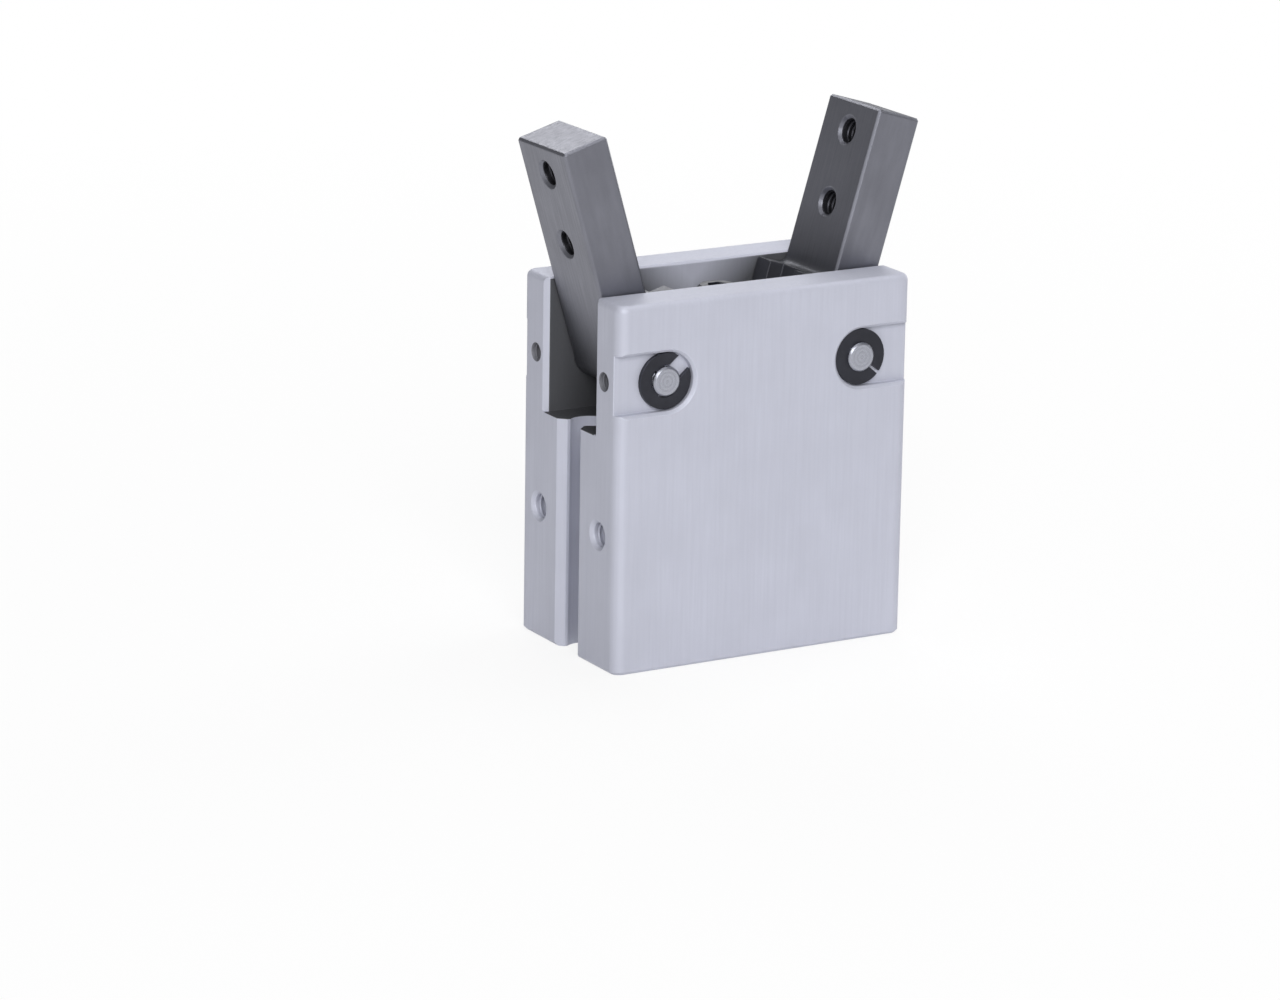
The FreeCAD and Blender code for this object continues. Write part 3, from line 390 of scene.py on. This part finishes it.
def pattern_threads(name, mount, across, up):
    """The threads of a bolt pattern, whose holes lie along the two given directions."""
    dims = mount["dims"]
    axis = Vector(mount["axis"])
    inset = axis * (hole_chamfer + tapped_depth / 2)
    radius = dims["hole_r_mm"] * MM
    rows = (-0.5, 0.5) if "spacing_y_mm" in dims else (0.0,)
    count = 0
    for column in (-0.5, 0.5):
        for row in rows:
            offset = Vector(across) * column * dims["spacing_x_mm"] * MM
            offset += Vector(up) * row * dims.get("spacing_y_mm", 0.0) * MM
            count += 1
            centre = Vector(mount["pos_m"]) + offset - inset
            thread(f"{name}_{count}", centre, axis, radius, mount_pitch, tapped_depth)


def set_screw_thread(side, end):
    """The open thread between a set screw's outer end and the side of the body."""
    low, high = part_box(f"{side}_{end}_set_screw")
    outer = max(low.x, high.x, key=abs)
    wall = math.copysign(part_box("body")[1].x, outer)
    centre = (low + high) / 2
    centre.x = (outer + wall) / 2
    thread(f"{side}_{end}_set_thread", centre, (1, 0, 0), screw_hole_radius, set_pitch, abs(wall - outer))


def snap_ring(name, retainer, seat, slit, turn):
    """A flat ring with a narrow slit, in the place of a retainer and as large and thick as that is."""
    steps = 96
    low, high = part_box(retainer)
    centre = (low + high) / 2
    outer = (high.x - low.x) / 2
    sections = []
    for step in range(steps + 1):
        section = []
        for radius, depth in ((seat, low.y), (outer, low.y), (outer, high.y), (seat, high.y)):
            half_slit = math.asin(slit / 2 / radius)
            angle = turn + half_slit + 2 * (math.pi - half_slit) * step / steps
            across = radius * math.cos(angle)
            rise = radius * math.sin(angle)
            section.append(Vector((centre.x + across, depth, centre.z + rise)))
        sections.append(section)
    made = new_piece(name, swept(sections), "housing", finishes["black_steel"])
    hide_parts(retainer)


# Threads
mount_pitch = 0.7 * MM
set_pitch = 0.5 * MM
port_pitch = 0.8 * MM
tapped_depth = 7.0 * MM
hole_chamfer = 0.5 * MM
for side in ("left", "right"):
    body = f"{side}_finger"
    for hole in ("outer", "inner"):
        mount_thread(f"{body}_{hole}_thread", mounts[f"{body}_{hole}_hole"], mount_pitch, body=body,
                     slot="finger_steel", material=finger_finishes[body])
for port in ("lower_port", "upper_port"):
    mount_thread(f"{port}_thread", mounts[port], port_pitch)
pattern_threads("base_thread", mounts["base_bolts"], (1, 0, 0), (0, 1, 0))
for side in ("left", "right"):
    pattern_threads(f"{side}_side_thread", mounts[f"{side}_side_bolts"], (0, 1, 0), (0, 0, 1))
    for end in ("front", "back"):
        set_screw_thread(side, end)

# The right front retainer looks dark all round in the photograph, so its opening is a slit
ring_seat = 1.62 * MM
ring_slit = 0.45 * MM
ring_turn = math.radians(-40.0)
snap_ring("right_front_snap_ring", "right_front_e_ring", ring_seat, ring_slit, ring_turn)


# Floor, world and lights
def white_to_camera(tree, plain, share, mirrored):
    """A shader that is white by a share to the camera, by another in reflections, and plain otherwise."""
    path = node(tree, "ShaderNodeLightPath").outputs
    direct = math_step(tree, "MULTIPLY", path["Is Camera Ray"], share)
    bounced = math_step(tree, "MAXIMUM", path["Is Glossy Ray"], path["Is Transmission Ray"])
    factor = math_step(tree, "MAXIMUM", direct, math_step(tree, "MULTIPLY", bounced, mirrored))
    white = node(tree, "ShaderNodeEmission", inputs={"Color": (1.0, 1.0, 1.0, 1.0), "Strength": 1.0})
    inputs = {0: factor, 1: plain, 2: white.outputs["Emission"]}
    return node(tree, "ShaderNodeMixShader", inputs=inputs).outputs["Shader"]


def make_floor(reach, drop, grey, near, far, mirrored):
    """A large pale floor that keeps a soft shadow near the object and is white further off.

    near and far are each a distance from the middle and the share of white to the camera there, and
    mirrored is the share of white in reflections.
    """
    shape = bmesh.new()
    bmesh.ops.create_grid(shape, x_segments=2, y_segments=2, size=reach)
    mesh = bpy.data.meshes.new("floor")
    shape.to_mesh(mesh)
    shape.free()
    floor = bpy.data.objects.new("floor", mesh)
    floor.location = (0.0, 0.0, cad_box[0][2] - drop)
    bpy.context.scene.collection.objects.link(floor)
    material = bpy.data.materials.new("pale_floor")
    material.use_nodes = True
    tree = material.node_tree
    tree.nodes.remove(tree.nodes["Principled BSDF"])
    matt = node(tree, "ShaderNodeBsdfDiffuse", inputs={"Color": (grey, grey, grey, 1.0)}).outputs["BSDF"]
    where = node(tree, "ShaderNodeTexCoord").outputs["Object"]
    distance = vector_math(tree, "LENGTH", where)["Value"]
    share = spread(tree, distance, near[1], far[1], near[0], far[0])
    shown = white_to_camera(tree, matt, share, mirrored)
    tree.links.new(shown, tree.nodes["Material Output"].inputs["Surface"])
    mesh.materials.append(material)


def make_world(color, strength, mirrored):
    """Even light from all round, white to the camera and by a share in reflections."""
    world = bpy.data.worlds.new("studio")
    bpy.context.scene.world = world
    world.use_nodes = True
    tree = world.node_tree
    plain = tree.nodes["Background"]
    plain.inputs["Color"].default_value = color
    plain.inputs["Strength"].default_value = strength
    shown = white_to_camera(tree, plain.outputs["Background"], 1.0, mirrored)
    tree.links.new(shown, tree.nodes["World Output"].inputs["Surface"])


def make_light(name, position, target, size, power):
    """A soft square lamp aimed at a point."""
    data = bpy.data.lights.new(name, "AREA")
    data.size = size
    data.energy = power
    lamp = bpy.data.objects.new(name, data)
    lamp.location = position
    lamp.rotation_euler = (Vector(target) - Vector(position)).to_track_quat("-Z", "Y").to_euler()
    bpy.context.scene.collection.objects.link(lamp)


make_floor(reach=6.0, drop=0.02 * MM, grey=0.9, near=(0.08, 0.84), far=(0.35, 1.0), mirrored=0.8)
make_world(color=(0.97, 0.98, 1.0, 1.0), strength=0.10, mirrored=0.14)

# Each lamp's place, the length of its sides and its power in watts
lamp_target = (0.0, 0.0, 0.035)
lamps = {
    "key": ((-0.63, -1.30, 0.85), 0.9, 23.4),
    "top": ((0.15, 0.05, 0.9), 0.6, 3.3),
    "back": ((0.30, 0.82, 0.54), 0.5, 2.2),
    "right": ((0.9, 0.25, 0.3), 0.5, 2.5),
}
for name, (position, size, power) in lamps.items():
    make_light(name, position, lamp_target, size, power)


# Camera, at the photograph's place
def camera_axes(back, roll):
    """The camera's right, up and backward directions, rolled about the line that it looks along."""
    level = Vector((0, 0, 1)).cross(back).normalized()
    rise = back.cross(level)
    right = math.cos(roll) * level + math.sin(roll) * rise
    return right, back.cross(right), back


def camera_aim(position, roll, left, rise):
    """The point to aim at, so far left of and above the origin as the camera sees it."""
    right, up, _ = camera_axes(Vector(position).normalized(), roll)
    return up * rise - right * left


def make_camera(position, aim, roll, lens):
    """A camera at a point, aimed at a point and rolled, with its lens and sensor in millimetres."""
    data = bpy.data.cameras.new("camera")
    data.sensor_fit = "HORIZONTAL"
    data.sensor_width = 36.0
    data.lens = lens
    data.clip_start = 0.01
    camera = bpy.data.objects.new("camera", data)
    axes = Matrix(camera_axes((Vector(position) - Vector(aim)).normalized(), roll))
    camera.matrix_world = Matrix.Translation(Vector(position)) @ axes.transposed().to_4x4()
    bpy.context.scene.collection.objects.link(camera)
    bpy.context.scene.camera = camera


camera_place = (-348.6 * MM, -579.1 * MM, 205.0 * MM)
camera_roll = math.radians(0.941)
camera_lens = 146.03
aim_left = 9.66 * MM
aim_rise = 17.55 * MM
camera_target = camera_aim(camera_place, camera_roll, aim_left, aim_rise)
make_camera(camera_place, camera_target, camera_roll, camera_lens)

bpy.context.scene.view_settings.view_transform = "Standard"
